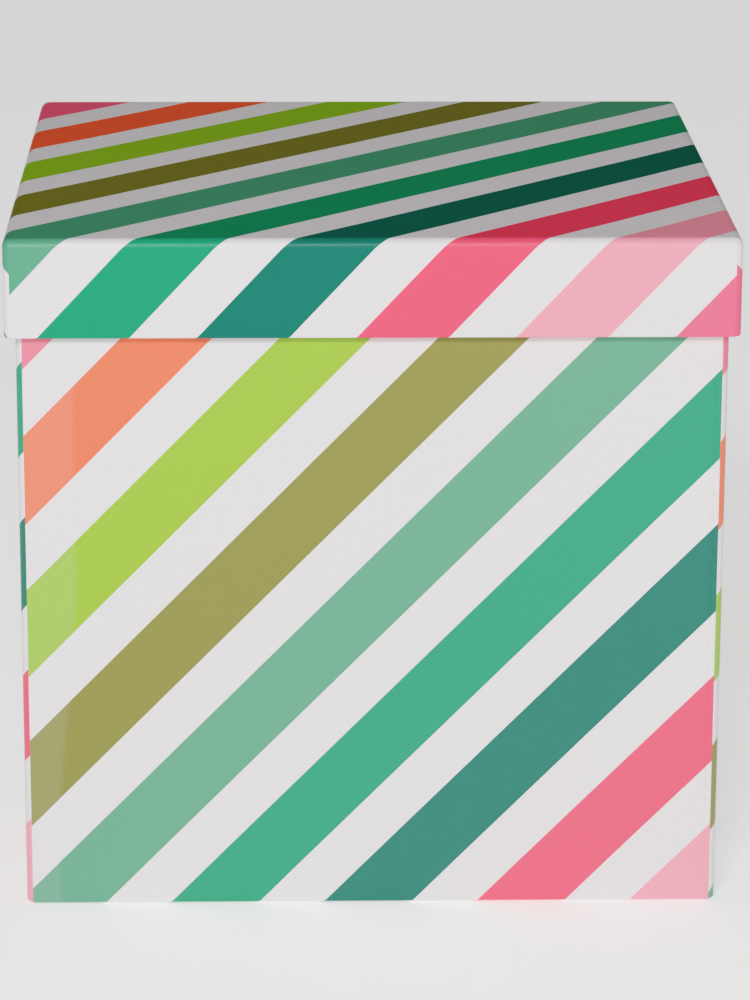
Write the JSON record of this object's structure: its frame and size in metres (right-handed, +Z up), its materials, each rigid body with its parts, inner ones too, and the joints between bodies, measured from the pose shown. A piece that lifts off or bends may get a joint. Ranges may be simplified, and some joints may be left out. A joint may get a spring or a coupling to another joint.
{
  "type": "hat box",
  "caption": "Square rigid hat box of taped greyboard covered with diagonally striped paper, with a shallow lift-off lid that slips over the tray.",
  "frame": {"origin": "middle of the footprint, on the surface that the box stands on", "axes": "+Z up, -Y to the front wall, +X to the right-hand wall"},
  "size_m": [0.2558, 0.2564, 0.246],
  "materials": {
    "printed_paper": "gloss laminated, printed with diagonal stripes in nine colours on white",
    "lining_paper": "matt, plain white",
    "greyboard": "matt, recycled grey fibre",
    "kraft_tape": "matt, gummed brown kraft"
  },
  "bodies": {
    "base": {"base_bottom_board": "greyboard", "base_front_board": "greyboard", "base_back_board": "greyboard", "base_left_board": "greyboard", "base_right_board": "greyboard", "base_corner_stay_front_left": "kraft_tape", "base_corner_stay_front_right": "kraft_tape", "base_corner_stay_back_left": "kraft_tape", "base_corner_stay_back_right": "kraft_tape", "base_wrap_front": "printed_paper", "base_wrap_back": "printed_paper", "base_wrap_left": "printed_paper", "base_wrap_right": "printed_paper", "base_bottom_sheet": "lining_paper", "base_wall_liner": "lining_paper", "base_floor_liner": "lining_paper"},
    "lid": {"lid_top_board": "greyboard", "lid_front_board": "greyboard", "lid_back_board": "greyboard", "lid_left_board": "greyboard", "lid_right_board": "greyboard", "lid_corner_stay_front_left": "kraft_tape", "lid_corner_stay_front_right": "kraft_tape", "lid_corner_stay_back_left": "kraft_tape", "lid_corner_stay_back_right": "kraft_tape", "lid_wrap": "printed_paper", "lid_top_liner": "lining_paper"}
  },
  "joints": [
    {"name": "lid_lift", "type": "slide", "parent": "base", "child": "lid", "axis": [0, 0, 1], "range_m": [0, 0.12]}
  ]
}
